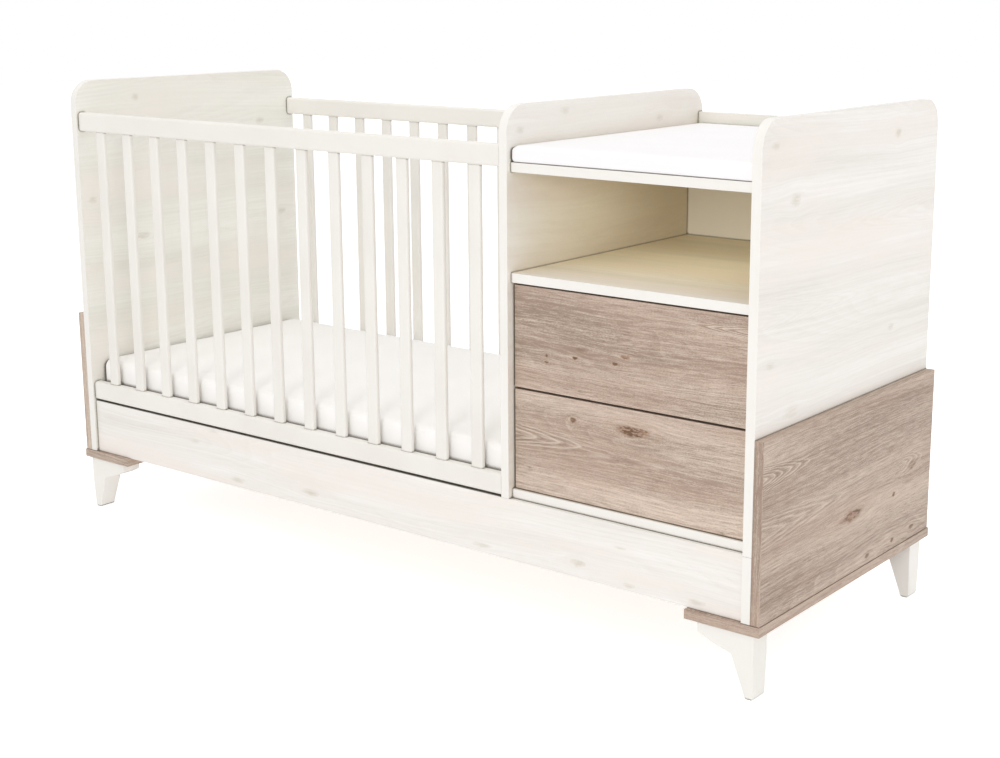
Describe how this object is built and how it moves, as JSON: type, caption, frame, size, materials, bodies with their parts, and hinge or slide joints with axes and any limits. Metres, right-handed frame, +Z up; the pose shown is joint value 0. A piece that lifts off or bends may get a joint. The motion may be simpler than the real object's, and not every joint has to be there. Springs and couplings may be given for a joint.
{
  "type": "crib with attached changer",
  "caption": "Long slatted crib whose right end is a changer with an open shelf and push-open drawers, on bracket feet, in pale and greyish brown board.",
  "frame": {"origin": "on the floor under the middle of the bounding box", "axes": "+X along the length towards the changer, +Y towards the back, +Z up; the drawers open towards -Y"},
  "size_m": [1.8, 0.659, 0.983],
  "materials": {
    "bleached_board": "matt bleached pine decor on board",
    "brown_board": "matt greyish brown pine decor on board",
    "ivory_lacquer": "satin ivory lacquer on wood",
    "plain_pine": "planed pine, unfinished",
    "drawer_board": "matt white coated board",
    "thin_back": "matt coated fibreboard",
    "mattress_cover": "woven white cotton cover",
    "pad_cover": "smooth wipe-clean white cover",
    "slide_steel": "zinc plated sheet steel",
    "zinc_fitting": "die-cast zinc"
  },
  "bodies": {
    "frame": {"left_end_panel": "bleached_board", "left_end_cover": "brown_board", "left_base_plate": "brown_board", "right_lower_panel": "bleached_board", "right_end_cover": "brown_board", "right_base_plate": "brown_board", "leg_front_left": "ivory_lacquer", "leg_back_left": "ivory_lacquer", "leg_front_right": "ivory_lacquer", "leg_back_right": "ivory_lacquer", "front_apron": "bleached_board", "back_apron": "bleached_board", "front_top_rail": "ivory_lacquer", "front_bottom_rail": "ivory_lacquer", "front_slats": "ivory_lacquer", "back_top_rail": "ivory_lacquer", "back_bottom_rail": "ivory_lacquer", "back_slats": "ivory_lacquer", "front_ledger": "plain_pine", "back_ledger": "plain_pine", "base_slats": "plain_pine", "mattress": "mattress_cover", "divider_panel": "bleached_board", "right_side_panel": "bleached_board", "changer_top": "bleached_board", "open_shelf": "bleached_board", "changer_bottom": "bleached_board", "changer_back": "thin_back", "back_guard": "bleached_board", "changing_pad": "pad_cover", "upper_outer_left": "slide_steel", "upper_outer_right": "slide_steel", "lower_outer_left": "slide_steel", "lower_outer_right": "slide_steel", "rail_cams": "zinc_fitting", "rail_dowels": "plain_pine", "cabinet_cams": "zinc_fitting", "apron_brackets": "slide_steel", "leg_screws": "slide_steel"},
    "upper_drawer": {"upper_front": "brown_board", "upper_left_side": "drawer_board", "upper_right_side": "drawer_board", "upper_back": "drawer_board", "upper_bottom": "drawer_board", "upper_inner_left": "slide_steel", "upper_inner_right": "slide_steel", "upper_cams": "zinc_fitting"},
    "upper_slide_stage": {"upper_middle_left": "slide_steel", "upper_middle_right": "slide_steel"},
    "lower_drawer": {"lower_front": "brown_board", "lower_left_side": "drawer_board", "lower_right_side": "drawer_board", "lower_back": "drawer_board", "lower_bottom": "drawer_board", "lower_inner_left": "slide_steel", "lower_inner_right": "slide_steel", "lower_cams": "zinc_fitting"},
    "lower_slide_stage": {"lower_middle_left": "slide_steel", "lower_middle_right": "slide_steel"}
  },
  "joints": [
    {"name": "upper_drawer_slide", "type": "slide", "parent": "frame", "child": "upper_drawer", "axis": [0, -1, 0], "range_m": [-0.003, 0.48]},
    {"name": "upper_stage_slide", "type": "slide", "parent": "frame", "child": "upper_slide_stage", "axis": [0, -1, 0], "range_m": [-0.0015, 0.24]},
    {"name": "lower_drawer_slide", "type": "slide", "parent": "frame", "child": "lower_drawer", "axis": [0, -1, 0], "range_m": [-0.003, 0.48]},
    {"name": "lower_stage_slide", "type": "slide", "parent": "frame", "child": "lower_slide_stage", "axis": [0, -1, 0], "range_m": [-0.0015, 0.24]}
  ],
  "couplings": [
    {"joint": "upper_stage_slide", "follows": "upper_drawer_slide", "ratio": 0.5},
    {"joint": "lower_stage_slide", "follows": "lower_drawer_slide", "ratio": 0.5}
  ]
}
